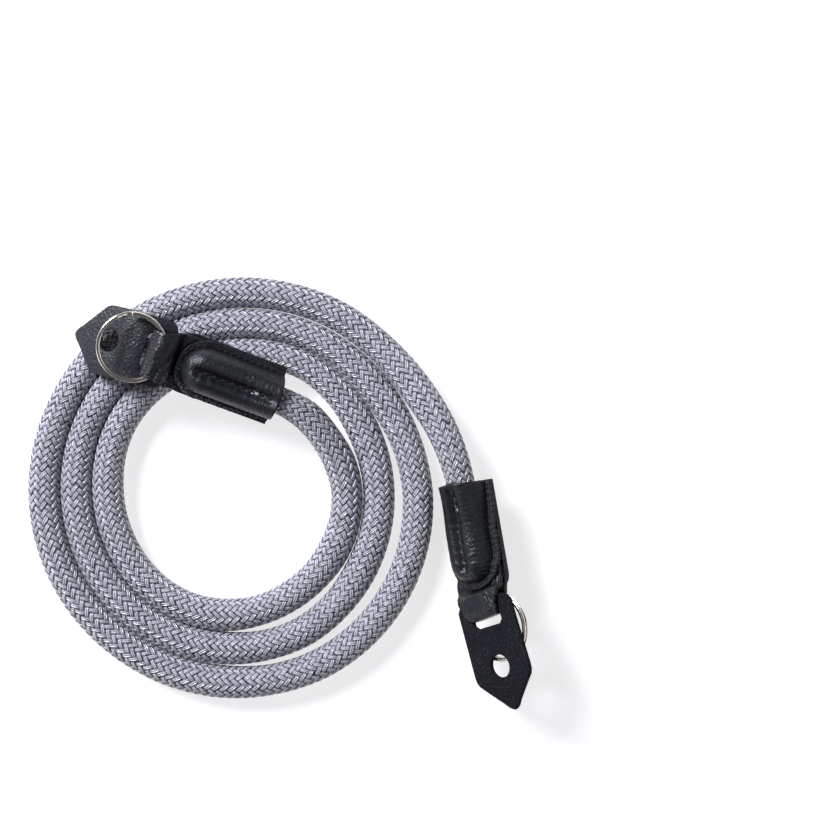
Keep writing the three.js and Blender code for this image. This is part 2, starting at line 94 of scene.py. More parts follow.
endA = {
    "turn": -2.8,
    "radius": 27.588,
    "height": 12.348,
    "heading": 159.3,
    "pitch": 13,
    "roll": -8,
    "shift": 0,
    "swing": 2.5,
}
endB = {
    "turn": 1136.5,
    "radius": 62.013,
    "height": 11.172,
    "heading": -80.3,
    "pitch": 5,
    "roll": 41.5,
    "shift": 1.6,
    "swing": 10.8,
}

# turn, radius of the first turn in coil radii, steps to the second and to the third in diameters
coilRows = [
    (0, 0.859, 1.268, 0.935),
    (30, 0.895, 1.155, 1.06),
    (60, 0.959, 1.024, 1.25),
    (90, 0.985, 1.077, 1.31),
    (120, 1.005, 1.196, 1.179),
    (150, 1.03, 1.065, 1.077),
    (180, 1.021, 1.012, 1.03),
    (210, 0.997, 1.012, 1.048),
    (240, 1.0, 1.006, 1.03),
    (270, 1.036, 0.964, 0.976),
    (300, 1.064, 0.988, 0.97),
    (330, 1.109, 0.97, 0.988),
]
# turn and step out from the third turn, in diameters
leadOutRows = [(0, 0.982), (30, 1.065), (45, 1.24), (57, 1.37)]
coilTurns = 3
coilEnd = 360 * coilTurns

ropeRadius = rope["diameter"] / 2
coverBottom = strapSize["thickness"] + strapSize["gap"]
mouthHalf = ropeRadius + strapSize["gap"] + coverSize["thickness"] + coverSize["mouthSlack"]
mouthHeight = rope["diameter"] + strapSize["gap"] + coverSize["thickness"]


def smoothStep(share):
    t = np.clip(share, 0, 1)
    return t * t * (3 - 2 * t)


def coilKnots():
    knots = []
    for turn in range(coilTurns):
        for row in coilRows:
            steps = (0, row[2], row[2] + row[3])[turn]
            knots.append((360 * turn + row[0], rope["coilRadius"] * row[1] + rope["diameter"] * steps))
    table = np.array(coilRows)
    for at, step in leadOutRows:
        inner, second, third = (np.interp(at, table[:, 0], table[:, i]) for i in (1, 2, 3))
        base = rope["coilRadius"] * inner + rope["diameter"] * (second + third)
        knots.append((coilEnd + at, base + rope["diameter"] * step))
    return np.array(knots)


def smoothThrough(knots, values, at):
    # cubic through the knots, with the slopes of their neighbours
    values = np.asarray(values, float)
    flat = values.reshape(len(knots), -1)
    slopes = np.gradient(flat, knots, axis=0)
    index = np.clip(np.searchsorted(knots, at, side="right") - 1, 0, len(knots) - 2)
    span = (knots[index + 1] - knots[index])[:, None]
    t = ((at - knots[index])[:, None]) / span
    first, last = flat[index], flat[index + 1]
    out = (2 * t**3 - 3 * t**2 + 1) * first + (t**3 - 2 * t**2 + t) * span * slopes[index]
    out += (3 * t**2 - 2 * t**3) * last + (t**3 - t**2) * span * slopes[index + 1]
    return out.reshape((len(at),) + values.shape[1:])


knots = coilKnots()


def radiusAt(turn):
    return smoothThrough(knots[:, 0], knots[:, 1], np.atleast_1d(float(turn)))[0]


def coilPoint(turn, radius, height):
    angle = math.radians(rope["startAngle"] - turn)
    x, y = rope["coilCentre"]
    return Vector((x + radius * math.cos(angle), y + radius * math.sin(angle), height))


def heightAt(turn):
    leave = max(0, 1 - turn / rope["settleOver"])
    arrive = float(smoothStep((turn - endB["turn"] + rope["riseOver"]) / rope["riseOver"]))
    return ropeRadius + (endA["height"] - ropeRadius) * leave**2 + (endB["height"] - ropeRadius) * arrive


def widthAt(turn):
    # turns that touch are pressed together, those apart keep their full width
    diameter = rope["diameter"]
    spacings = []
    if turn >= 360:
        spacings.append(radiusAt(turn) - radiusAt(turn - 360))
    if turn <= endB["turn"] - 360:
        spacings.append(radiusAt(turn + 360) - radiusAt(turn))
    nearest = min(spacings)
    touching = 1 - float(smoothStep((nearest / diameter - rope["touching"]) / rope["touchingBlend"]))
    return diameter + touching * (nearest + rope["press"] - diameter)


def endFrame(end):
    place = Matrix.Translation(coilPoint(end["turn"], end["radius"], end["height"]))
    place @= Matrix.Rotation(math.radians(end["heading"]), 4, "Z")
    place @= Matrix.Rotation(math.radians(-end["pitch"]), 4, "Y")
    place @= Matrix.Rotation(math.radians(end["roll"]), 4, "X")
    return place @ Matrix.Translation((0, -end["shift"], -(coverBottom + ropeRadius)))


frames = {"a": endFrame(endA), "b": endFrame(endB)}
ends = {"a": endA, "b": endB}

# Cover sections along its length: half width, height, groove
coverRows = np.array([
    (0, 0, 0, 0.25),
    (0.1, 0.25, 0.3, 0.8),
    (0.25, 0.8, 0.75, 1),
    (0.38, 1, 1, 1),
    (0.82, 1, 1, 1),
    (0.88, 1, 1, 0.25),
    (0.92, 1, 1, 0),
    (1, 1, 1, 0),
])
roundStart = coverSize["length"] - coverSize["width"] / 2


def coverSection(x):
    at = np.clip(x / coverSize["length"], 0, 1)
    wide, high, groove = (np.interp(at, coverRows[:, 0], coverRows[:, i]) for i in (1, 2, 3))
    halfWidth = mouthHalf + (coverSize["width"] / 2 - mouthHalf) * wide
    height = mouthHeight + (coverSize["height"] - mouthHeight) * high
    return halfWidth, height, coverSize["groove"] * groove


def roundedEnd(x, reach):
    share = np.clip((x - roundStart) / (coverSize["length"] + reach - roundStart), 0, 1)
    return np.sqrt(1 - share**2)


def middleY(x, shift):
    return shift * (1 - smoothStep(x / (coverSize["length"] * 0.5)))


# how the rope fits its cover: how it closes at the end, and its play in gaps
fitInCover = {"closing": 0.7, "sideGaps": 3, "heightGaps": 1.4, "widest": 1.35}
coverShares = [1, 0.82, 0.6, 0.42, 0.25, 0.12, 0]


def ropeInCover(x):
    halfWidth, height = coverSection(x)[:2]
    gap = strapSize["gap"]
    close = roundedEnd(x, -coverSize["thickness"] - gap)
    room = (height - coverSize["thickness"]) * close ** fitInCover["closing"] - gap
    slack = coverSize["mouthSlack"] * (1 - x / rope["intoCover"])
    widest = halfWidth - coverSize["thickness"] - gap * fitInCover["sideGaps"] - slack
    halfHeight = min(ropeRadius, (room - gap * fitInCover["heightGaps"]) / 2)
    return min(widest * close, ropeRadius * fitInCover["widest"]), halfHeight


def endUp(letter):
    return Vector(frames[letter].to_3x3() @ Vector((0, 0, 1)))


def endStations(letter, shares):
    rows = []
    for share in shares:
        x = share * rope["intoCover"]
        halfWidth, halfHeight = ropeInCover(x)
        centre = frames[letter] @ Vector((x, middleY(x, ends[letter]["shift"]), coverBottom + halfHeight))
        rows.append([*centre, *endUp(letter), halfWidth, halfHeight])
    return rows


def ropeStations():
    # centre, up, half width and half height
    rows = endStations("a", coverShares)
    lastTurn = coilEnd + leadOutRows[2][0]
    over = rope["levelOver"]
    for turn in range(rope["stationEvery"], lastTurn + 1, rope["stationEvery"]):
        up = Vector((0, 0, 1)).lerp(endUp("a"), 1 - float(smoothStep(turn / over)))
        nearB = float(smoothStep((turn - lastTurn + rope["levelFrom"]) / over))
        up = up.lerp(endUp("b"), nearB).normalized()
        centre = coilPoint(turn, radiusAt(turn), heightAt(turn))
        rows.append([*centre, *up, widthAt(turn) / 2, ropeRadius])
    return np.array(rows + endStations("b", coverShares[::-1]))


stations = ropeStations()
stationAt = np.concatenate([[0], np.cumsum(np.linalg.norm(np.diff(stations[:, :3], axis=0), axis=1))])
ropeLength = stationAt[-1]
print("rope length mm", round(float(ropeLength), 1))


def ropeFrame(at):
    # centre, across, upright, half width and half height at lengths along the rope
    values = smoothThrough(stationAt, stations, at)
    centre, up = values[:, :3], values[:, 3:6]
    along = np.gradient(centre, at, axis=0)
    along /= np.linalg.norm(along, axis=1)[:, None]
    across = np.cross(up, along)
    across /= np.linalg.norm(across, axis=1)[:, None]
    upright = np.cross(along, across)
    return centre, across, upright, values[:, 6], values[:, 7]


def tubeFaces(count, sides):
    ring = np.arange(sides)
    start = (np.arange(count - 1) * sides)[:, None]
    a = start + ring
    b = start + (ring + 1) % sides
    return np.stack([a, b, b + sides, a + sides], axis=-1).reshape(-1, 4)


def meshPiece(name, points, faces, capRings=(), sides=0):
    # points in millimetres; closes the tube ends that capRings names
    polygons = [tuple(face) for face in faces.tolist()]
    for start, forward in capRings:
        ring = list(range(start, start + sides))
        polygons.append(tuple(ring if forward else ring[::-1]))
    mesh = bpy.data.meshes.new(name)
    mesh.from_pydata((np.asarray(points) * mm).tolist(), [], polygons)
    mesh.polygons.foreach_set("use_smooth", [True] * len(mesh.polygons))
    mesh.update()
    piece = bpy.data.objects.new(name, mesh)
    bpy.context.scene.collection.objects.link(piece)
    return piece


# Core under the braid, which carries the cord's line
core = {"share": 0.73, "step": 1.0, "sides": 20}

coreAt = np.linspace(0, ropeLength, int(ropeLength / core["step"]) + 1)
centre, across, upright, halfWidth, halfHeight = ropeFrame(coreAt)
turnAngle = 2 * np.pi * np.arange(core["sides"]) / core["sides"]
wide = (halfWidth * core["share"])[:, None, None] * np.cos(turnAngle)[None, :, None]
high = (halfHeight * core["share"])[:, None, None] * np.sin(turnAngle)[None, :, None]
corePoints = (centre[:, None] + across[:, None] * wide + upright[:, None] * high).reshape(-1, 3)
coreFaces = tubeFaces(len(coreAt), core["sides"])
coreCaps = [(0, False), ((len(coreAt) - 1) * core["sides"], True)]
ropeCore = meshPiece("rope_core", corePoints, coreFaces, coreCaps, core["sides"])

# Braid: two sets of strands wound opposite ways, over two and under two
braid = {
    "strandsEachWay": 16,
    "angle": 38.3,
    "samplesPerCrossing": 2.5,
    "middle": 3.62,
    "wave": 0.27,
    "sharpness": 1.8,
    "halfWidth": 0.66,
    "halfThickness": 0.33,
    "spread": 0.06,
    "wobble": 0.05,
    "wobblePoints": 240,
    "swell": 0.05,
    "swellPoints": 400,
    "rowShift": 0.25,
    "intoCover": 7.0,
    "strandsPerPiece": 4,
}
# half a strand's width and thickness, flat above and narrower below
strandSection = np.array([(1.0, 0.0), (0.62, 0.82), (-0.62, 0.82), (-1.0, 0.0), (-0.5, -0.7), (0.5, -0.7)])


def unevenness(at, points, rng):
    return np.interp(at, np.linspace(0, ropeLength, points), rng.normal(size=points))


def braidStrands(direction, numbers, rng):
    strandsEachWay = braid["strandsEachWay"]
    pitch = 2 * np.pi * ropeRadius / math.tan(math.radians(braid["angle"]))
    crossing = pitch / (2 * strandsEachWay)
    start = rope["intoCover"] - braid["intoCover"]
    at = np.arange(start, ropeLength - start, crossing / braid["samplesPerCrossing"])
    centre, across, upright, halfWidth, halfHeight = ropeFrame(at)
    allPoints, counts = [], []
    for number in numbers:
        wobble = braid["wobble"] * unevenness(at, braid["wobblePoints"], rng)
        swell = 1 + braid["swell"] * unevenness(at, braid["swellPoints"], rng)
        turns = direction * at / pitch + (number + wobble) / strandsEachWay
        phase = 2 * np.pi * turns
        # floats lie in rows along the rope, so over and under follow the angle alone
        count = strandsEachWay * turns - braid["rowShift"] + (0 if direction > 0 else 1)
        wave = np.tanh(braid["sharpness"] * np.cos(np.pi * count))
        radius = (braid["middle"] + braid["wave"] * wave) / ropeRadius
        cos, sin = np.cos(phase), np.sin(phase)
        point = centre + across * (radius * cos * halfWidth)[:, None]
        point = point + upright * (radius * sin * halfHeight)[:, None]
        normal = across * (cos / halfWidth)[:, None] + upright * (sin / halfHeight)[:, None]
        normal /= np.linalg.norm(normal, axis=1)[:, None]
        forward = np.gradient(point, axis=0)
        forward -= normal * np.sum(forward * normal, axis=1)[:, None]
        forward /= np.linalg.norm(forward, axis=1)[:, None]
        side = np.cross(forward, normal)
        half = braid["halfWidth"] * (1 + braid["spread"] * wave) * swell
        section = point[:, None] + side[:, None] * (half[:, None] * strandSection[None, :, 0])[..., None]
        section += normal[:, None] * (braid["halfThickness"] * strandSection[None, :, 1])[..., None]
        allPoints.append(section)
        counts.append(count)
    return np.array(counts), np.array(allPoints)


def braidPiece(name, direction, numbers, seed):
    rng = np.random.default_rng(seed)
    crossings, rings = braidStrands(direction, numbers, rng)
    strands, count, sides = rings.shape[:3]
    one = tubeFaces(count, sides)
    faces = np.concatenate([one + strand * count * sides for strand in range(strands)])
    caps = []
    for strand in range(strands):
        first = strand * count * sides
        caps += [(first, True), (first + (count - 1) * sides, False)]
    piece = meshPiece(name, rings.reshape(-1, 3), faces[:, ::-1], caps, sides)
    around = np.tile(np.arange(sides) / sides, strands * count)
    lengths = np.repeat(crossings.ravel(), sides)
    layer = piece.data.uv_layers.new(name="strand")
    corners = np.empty(len(piece.data.loops), np.int32)
    piece.data.loops.foreach_get("vertex_index", corners)
    uv = np.stack([lengths[corners], around[corners]], axis=-1)
    # U counts the floats, V runs round the strand and wraps at its last side
    quads = len(faces)
    wrapped = uv[: quads * 4].reshape(-1, 4, 2)
    turned = wrapped[..., 1].max(axis=1) > 0.8
    low = turned[:, None] & (wrapped[..., 1] < 0.2)
    wrapped[..., 1][low] += 1
    layer.data.foreach_set("uv", uv.astype(np.float32).ravel())
    return piece


braidPieces = []
for direction, letter in ((1, "right"), (-1, "left")):
    for group in range(braid["strandsEachWay"] // braid["strandsPerPiece"]):
        numbers = range(group * braid["strandsPerPiece"], (group + 1) * braid["strandsPerPiece"])
        seed = 10 * group + direction + 5
        braidPieces.append(braidPiece(f"braid_{letter}_{group + 1}", direction, numbers, seed))
print("braid made")

# Leather end fittings
stitch = {
    "length": 1.9,
    "pitch": 2.5,
    "width": 0.75,
    "first": 2.2,
    "last": 23.5,
    "proud": 0.2,
    "flatness": 0.8,
    "seamPitch": 1.9,
    "seamShare": 0.75,  # a stitch's length as a share of the pitch
    "seamWidth": 0.5,
    "seamOut": 0.45,
    "seamEnd": 0.6,
    "seamProud": 0.12,
}


def shapedGrid(name, along, across, place):
    # a flat grid that place(along share, across share) lays out in the end's own millimetres
    bpy.ops.object.select_all(action="DESELECT")
    bpy.ops.mesh.primitive_grid_add(x_subdivisions=along, y_subdivisions=across, size=1, calc_uvs=True)
    piece = bpy.context.object
    piece.name = piece.data.name = name
    co = np.empty(len(piece.data.vertices) * 3)
    piece.data.vertices.foreach_get("co", co)
    co = co.reshape(-1, 3)
    shares = co[:, :2] + 0.5
    points = place(shares[:, 0], shares[:, 1])
    piece.data.vertices.foreach_set("co", (points * mm).ravel())
    piece.data.update()
    return piece


def applyModifier(piece, kind, **settings):
    bpy.context.view_layer.objects.active = piece
    modifier = piece.modifiers.new(kind.lower(), kind)
    for key, value in settings.items():
        setattr(modifier, key, value)
    bpy.ops.object.modifier_apply(modifier=modifier.name)


def giveThickness(piece, thickness, offset, even):
    applyModifier(piece, "SOLIDIFY", thickness=thickness * mm, offset=offset, use_even_offset=even)


def roundEdges(piece, width, segments):
    settings = {"width": width * mm, "segments": segments}
    applyModifier(piece, "BEVEL", limit_method="ANGLE", angle_limit=math.radians(50), **settings)


def moveToEnd(piece, letter):
    place = frames[letter].copy()
    place.translation = place.translation * mm
    piece.data.transform(place)
    piece.data.update()


def smoothMax(a, b, blend):
    share = np.clip(0.5 + (a - b) / (2 * blend), 0, 1)
    return b + (a - b) * share + blend * share * (1 - share)


# where the lip steps up on the band and how it fades to its edge
lipShape = {"liftFrom": 24, "liftOver": 4, "stepBefore": 1.5, "stepOver": 4, "halfWidth": 8.2, "fade": 3}
skin = {
    "alongSteps": 110,
    "acrossSteps": 120,
    "crowding": 1.35,
    "flange": 0.1,  # share of the half width that lies flat
    "crownPower": 0.8,
    "sidePower": 0.62,
    "risePower": 0.78,
    "mouthLip": 0.6,  # share of the lip at the mouth, full after mouthLipOver
    "mouthLipOver": 8,
    "blend": 0.35,
    "ragged": 0.12,
    "ripple": 0.06,
    "rippleFrom": 12,
    "rippleOver": 6,
    "groovePucker": 0.1,
    "seamPucker": 0.12,
}


def lipLift(x):
    # the lip rides up over the band that comes out from under it
    return coverSize["lift"] * smoothStep((x - lipShape["liftFrom"]) / lipShape["liftOver"])


def lipTop(x, y):
    stepUp = coverBottom * smoothStep((x - roundStart + lipShape["stepBefore"]) / lipShape["stepOver"])
    inside = smoothStep((lipShape["halfWidth"] - np.abs(y)) / lipShape["fade"])
    return coverSize["thickness"] + stepUp + lipLift(x) * inside


def coverSkin(letter):
    shift = ends[letter]["shift"]
    sign = 1 if letter == "a" else -1
    flange = skin["flange"]

    def place(u, v):
        x = (coverSize["length"] + coverSize["endLip"]) * (1 - (1 - u) ** skin["crowding"])
        halfWidth, height, dip = coverSection(x)
        closing = roundedEnd(x, 0)
        crown = closing ** skin["crownPower"]
        side = 2 * v - 1
        inDome = np.clip(side / (1 - flange), -1, 1)
        angle = np.pi / 2 * (1 - inDome)
        cos, sin = np.cos(angle), np.clip(np.sin(angle), 0, 1)
        y = halfWidth * closing * np.sign(cos) * np.abs(cos) ** skin["sidePower"]
        rise = height * crown * sin ** skin["risePower"]
        rise = rise - dip * crown * np.exp(-((y / coverSize["grooveHalf"]) ** 2))
        reachX = coverSize["length"] + coverSize["endLip"] - roundStart
        lipShare = np.clip((x - roundStart) / reachX, 0, 1)
        fullLip = smoothStep(x / skin["mouthLipOver"])
        lip = coverSize["lip"] * (skin["mouthLip"] + (1 - skin["mouthLip"]) * fullLip)
        lipHalf = (halfWidth + lip) * np.sqrt(np.clip(1 - lipShare**2, 0, 1))
        outside = np.clip((np.abs(side) - (1 - flange)) / flange, 0, 1)
        y = y + np.sign(side) * (lipHalf - halfWidth * closing) * outside
        y = y + np.sign(side) * (skin["ragged"] * np.sin(x * 3.1 + sign) * np.sin(x * 1.3) * outside)
        ripple = skin["ripple"] * np.sin(x * 2.1 + 2 * np.sin(y * 0.8 * sign))
        wave = ripple * smoothStep((x - skin["rippleFrom"]) / skin["rippleOver"]) * sin
        # puckers: the leather swells between the stitches of the groove and beside the seam
        besideGroove = np.exp(-(((np.abs(y) - 1.0) / 0.5) ** 2)) * (dip / coverSize["groove"])
        besideSeam = np.exp(-(((sin - 0.32) / 0.16) ** 2)) * smoothStep((coverSize["length"] - x) / 3)
        inGroove = np.cos(2 * np.pi * (x - stitch["first"]) / stitch["pitch"])
        wave = wave - skin["groovePucker"] * inGroove * besideGroove
        wave = wave + skin["seamPucker"] * np.cos(2 * np.pi * x / stitch["seamPitch"]) * besideSeam
        z = smoothMax(rise + wave, lipTop(x, y), skin["blend"])
        return np.stack([x, y + middleY(x, shift), z + coverBottom], axis=-1)

    piece = shapedGrid(f"cover_skin_{letter}", skin["alongSteps"], skin["acrossSteps"], place)
    bpy.ops.object.mode_set(mode="EDIT")
    bpy.ops.mesh.select_all(action="SELECT")
    bpy.ops.mesh.remove_doubles(threshold=0.00002)
    bpy.ops.mesh.normals_make_consistent(inside=False)
    bpy.ops.object.mode_set(mode="OBJECT")
    if sum(face.normal.z * face.area for face in piece.data.polygons) < 0:
        piece.data.flip_normals()
    giveThickness(piece, coverSize["thickness"], -1, False)
    bpy.ops.object.shade_smooth()
    moveToEnd(piece, letter)
    return piece


# Loop strap: flat under the cover, up through the tab's slot, back over tab and ring, under the lip
loop = {
    "bend": 0.9,  # fold radius in thicknesses
    "lowCount": 60,
    "acrossSteps": 40,
    "overLip": 2,  # from the lip's end to where the band starts down
    "downRun": 1.9,
    "tuckEnd": 4.4,
    "shoulderBefore": 2,
    "shoulderOver": 8,
    "tuckOver": 6,
    "slotHalf": 4.5,
    "archFrom": 30,
    "archOver": 5.8,
    "edge": 0.25,
}
bandShape = {
    "a": {"width": 12.4, "arch": 1.0, "crown": 0.8, "tabTop": 2.75},
    "b": {"width": 11.0, "arch": 0.4, "crown": 0.35, "tabTop": 4.7},
}
strapMiddle = strapSize["thickness"] / 2
foldX = coverSize["length"] + strapSize["reach"] - strapMiddle
loopTop = 2 * strapSize["thickness"] + strapSize["tabThickness"] + strapSize["ringThickness"]
loopTop = loopTop + 3 * strapSize["gap"] - strapMiddle
loopTuck = strapSize["thickness"] * 1.5 + strapSize["gap"]


def strapLine():
    low, top = strapMiddle, loopTop
    radius = strapSize["thickness"] * loop["bend"]
    line = [(x, low) for x in np.linspace(0, foldX - radius - 0.4, loop["lowCount"])]
    arc = np.radians(np.linspace(0, 90, 9))
    line += [(foldX - radius + radius * math.sin(a), low + radius - radius * math.cos(a)) for a in arc]
    line += [(foldX, z) for z in np.linspace(low + radius + 0.2, top - radius - 0.2, 8)]
    line += [(foldX - radius + radius * math.cos(a), top - radius + radius * math.sin(a)) for a in arc]
    downFrom = coverSize["length"] + coverSize["endLip"] + loop["overLip"]
    downTo = downFrom - loop["downRun"]
    line += [(x, top) for x in np.linspace(foldX - radius - 0.3, downFrom + 0.3, 12)]
    for share in np.linspace(0, 1, 12):
        z = top + (loopTuck - top) * float(smoothStep(share))
        line.append((downFrom + (downTo - downFrom) * share, z))
    line += [(x, loopTuck) for x in np.linspace(downTo - 0.3, coverSize["length"] - loop["tuckEnd"], 8)]
    return np.array(line)


def swung(x, y, swing, ramp=3):
    # the loop past the cover swings a little to one side
    reach = x - coverSize["length"]
    angle = np.radians(swing) * smoothStep(reach / ramp)
    turnedX = coverSize["length"] + reach * np.cos(angle) - y * np.sin(angle)
    turnedY = reach * np.sin(angle) + y * np.cos(angle)
    return np.where(reach > 0, turnedX, x), np.where(reach > 0, turnedY, y)


# creases of the top band: where each crosses the middle, its slant and its depth
creaseRows = {
    "a": [(28.9, 0.16, 0.45), (30.4, 0.42, 0.35), (31.9, 0.12, 0.25), (33.3, -0.14, 0.14)],
    "b": [(28.9, -0.1, 0.3), (30.4, 0.08, 0.2), (32.4, -0.05, 0.1)],
}
creaseHalf = 0.5


def creaseAt(x, y, letter):
    total = 0
    for middle, slant, depth in creaseRows[letter]:
        total = total - depth * np.exp(-(((x - middle - slant * y) / creaseHalf) ** 2))
    return total


def loopStrap(letter):
    line = strapLine()
    shape = bandShape[letter]
    slotHalf = loop["slotHalf"]

    def place(u, v):
        index = np.clip(u * (len(line) - 1), 0, len(line) - 1)
        number = np.rint(index).astype(int)
        x, z = line[number, 0], line[number, 1]
        under = number < loop["lowCount"]
        down = np.clip((loopTop - z) / (loopTop - loopTuck), 0, 1)
        z = np.where(under, z, z + lipLift(x) * down * (z < loopTop) * (x < foldX - 3))
        shoulder = smoothStep((x - coverSize["length"] + loop["shoulderBefore"]) / loop["shoulderOver"])
        free = strapSize["width"] / 2 + (strapSize["loopWidth"] - strapSize["width"]) / 2 * shoulder
        tuckShoulder = smoothStep((x - coverSize["length"] - coverSize["endLip"]) / loop["tuckOver"])
        tucked = strapSize["tuckWidth"] / 2 + (shape["width"] - strapSize["tuckWidth"]) / 2 * tuckShoulder
        half = np.where(under, free, tucked)
        # narrow where it stands in the slot
        inSlot = smoothStep((z - 0.6) / 0.4) * (1 - smoothStep((z - shape["tabTop"] - 0.45) / 0.6))
        inSlot = np.where(x < foldX - 1.1, 0, inSlot)
        half = half + (slotHalf - half) * inSlot
        y = half * (2 * v - 1)
        onTop = smoothStep((z - loopTop + 1) / 1) * smoothStep((foldX - 0.6 - x) / 1.2)
        arch = shape["arch"] * np.sin(np.pi * np.clip((x - loop["archFrom"]) / loop["archOver"], 0, 1))
        bulge = arch + shape["crown"] * (1 - (2 * v - 1) ** 2) + creaseAt(x, y, letter)
        x, y = swung(x, y, ends[letter]["swing"])
        return np.stack([x, y, z + onTop * bulge], axis=-1)

    piece = shapedGrid(f"strap_loop_{letter}", len(line) - 1, loop["acrossSteps"], place)
    giveThickness(piece, strapSize["thickness"], 0, True)
    roundEdges(piece, loop["edge"], 2)
    bpy.ops.object.shade_smooth()
    moveToEnd(piece, letter)
    return piece


def mergedCopy(node, name):
    # the node's loose triangles joined, its flat faces made whole
    piece = bpy.data.objects.new(name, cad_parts[node].data.copy())
    bpy.context.scene.collection.objects.link(piece)
    bpy.ops.object.select_all(action="DESELECT")
    piece.select_set(True)
    bpy.context.view_layer.objects.active = piece
    bpy.ops.object.mode_set(mode="EDIT")
    bpy.ops.mesh.select_all(action="SELECT")
    bpy.ops.mesh.remove_doubles(threshold=0.000002)
    bpy.ops.mesh.dissolve_limited(angle_limit=math.radians(1.5))
    bpy.ops.object.mode_set(mode="OBJECT")
    return piece


tabEdge = 0.22


def protectorTab(letter):
    piece = mergedCopy(f"protector_tab_{letter}", f"tab_{letter}")
    roundEdges(piece, tabEdge, 3)
    bpy.ops.object.shade_smooth_by_angle(angle=math.radians(60))
    return piece


ring = {
    "diameter": 18.6,
    "wire": 1.1,
    "coil": 0.8,
    "play": 0.1,
    "ramp": 0.3,
    "endGap": 0.12,
    "squareness": 0.7,
    "steps": 220,
    "sides": 12,
}
ringPlace = {
    "a": {"reach": 4.4, "shift": 0.1, "bottom": 3.0, "endAngle": -47},
    "b": {"reach": 3.5, "shift": 1.2, "bottom": 1.45, "endAngle": 200},
}


def splitRing(letter):
    settings = ringPlace[letter]
    wound = np.linspace(0, 4 * np.pi - ring["ramp"] - ring["endGap"], ring["steps"])
    angle = math.radians(settings["endAngle"]) + wound
    rise = (ring["coil"] + ring["play"]) * smoothStep((wound - 2 * np.pi + ring["ramp"]) / ring["ramp"])
    middle = (ring["diameter"] - ring["wire"]) / 2
    turn = 2 * np.pi * (np.arange(ring["sides"]) + 0.5) / ring["sides"]
    out = ring["wire"] / 2 * np.sign(np.cos(turn)) * np.abs(np.cos(turn)) ** ring["squareness"]
    up = ring["coil"] / 2 * np.sign(np.sin(turn)) * np.abs(np.sin(turn)) ** ring["squareness"]
    radius = middle + out[None, :]
    x = foldX + settings["reach"] + radius * np.cos(angle)[:, None]
    y = settings["shift"] + radius * np.sin(angle)[:, None]
    x, y = swung(x, y, ends[letter]["swing"], ramp=0.001)  # swings as a whole
    z = settings["bottom"] + ring["coil"] / 2 + rise[:, None] + up[None, :]
    points = np.stack([x, y, z], axis=-1).reshape(-1, 3)
    faces = tubeFaces(ring["steps"], ring["sides"])
    caps = [(0, True), ((ring["steps"] - 1) * ring["sides"], False)]
    piece = meshPiece(f"ring_{letter}", points, faces[:, ::-1], caps, ring["sides"])
    moveToEnd(piece, letter)
    return piece


def coverTop(x):
    # height of the outer skin along the bottom of the groove, for the stitches that lie there
    halfWidth, height, dip = coverSection(x)
    crown = float(roundedEnd(x, 0)) ** skin["crownPower"]
    return height * crown - dip * crown


def stitchRow(name, letter, places):
    # places: x, y, z, heading, length and width of each stitch, in the end's own millimetres
    bpy.ops.object.select_all(action="DESELECT")
    bpy.ops.mesh.primitive_uv_sphere_add(segments=8, ring_count=6, radius=0.5)
    pattern = bpy.context.object
    co = np.array([v.co for v in pattern.data.vertices])
    polygons = sorted(list(p.vertices) for p in pattern.data.polygons)
    bpy.data.objects.remove(pattern)
    points, faces = [], []
    for x, y, z, heading, length, width in places:
        scaled = co * (length, width, width * stitch["flatness"])
        cos, sin = math.cos(heading), math.sin(heading)
        turnedX = scaled[:, 0] * cos - scaled[:, 1] * sin
        turnedY = scaled[:, 0] * sin + scaled[:, 1] * cos
        faces += [[i + len(points) * len(co) for i in face] for face in polygons]
        points.append(np.stack([turnedX, turnedY, scaled[:, 2]], axis=-1) + (x, y, z))
    mesh = bpy.data.meshes.new(name)
    mesh.from_pydata((np.concatenate(points) * mm).tolist(), [], faces)
    mesh.polygons.foreach_set("use_smooth", [True] * len(faces))
    piece = bpy.data.objects.new(name, mesh)
    bpy.context.scene.collection.objects.link(piece)
    moveToEnd(piece, letter)
    return piece


def grooveStitches(letter):
    places = []
    for x in np.arange(stitch["first"], stitch["last"], stitch["pitch"]):
        y = float(middleY(x, ends[letter]["shift"]))
        z = coverBottom + coverTop(x) + stitch["proud"]
        places.append((x, y, z, 0, stitch["length"], stitch["width"]))
    return stitchRow(f"groove_stitches_{letter}", letter, places)


def seamPath(letter):
    # once round the cover, just outside its dome
    end = coverSize["length"] + stitch["seamEnd"]
    side, other = [], []
    for x in np.linspace(1, end, 160):
        share = min(1, max(0, (x - roundStart) / (end - roundStart)))
        out = (float(coverSection(x)[0]) + stitch["seamOut"]) * math.sqrt(1 - share**2)
        middle = float(middleY(x, ends[letter]["shift"]))
        side.append((x, middle + out))
        other.append((x, middle - out))
    return np.array(side + other[::-1])


def seamStitches(letter):
    path = seamPath(letter)
    lengths = np.concatenate([[0], np.cumsum(np.linalg.norm(np.diff(path, axis=0), axis=1))])
    stitchLength = stitch["seamPitch"] * stitch["seamShare"]
    places = []
    for at in np.arange(1, lengths[-1] - 1, stitch["seamPitch"]):
        x, y = (float(np.interp(at, lengths, path[:, i])) for i in (0, 1))
        aheadX, aheadY = (float(np.interp(at + 0.3, lengths, path[:, i])) for i in (0, 1))
        z = coverBottom + float(lipTop(x, y)) + stitch["seamProud"]
        places.append((x, y, z, math.atan2(aheadY - y, aheadX - x), stitchLength, stitch["seamWidth"]))
    return stitchRow(f"seam_stitches_{letter}", letter, places)


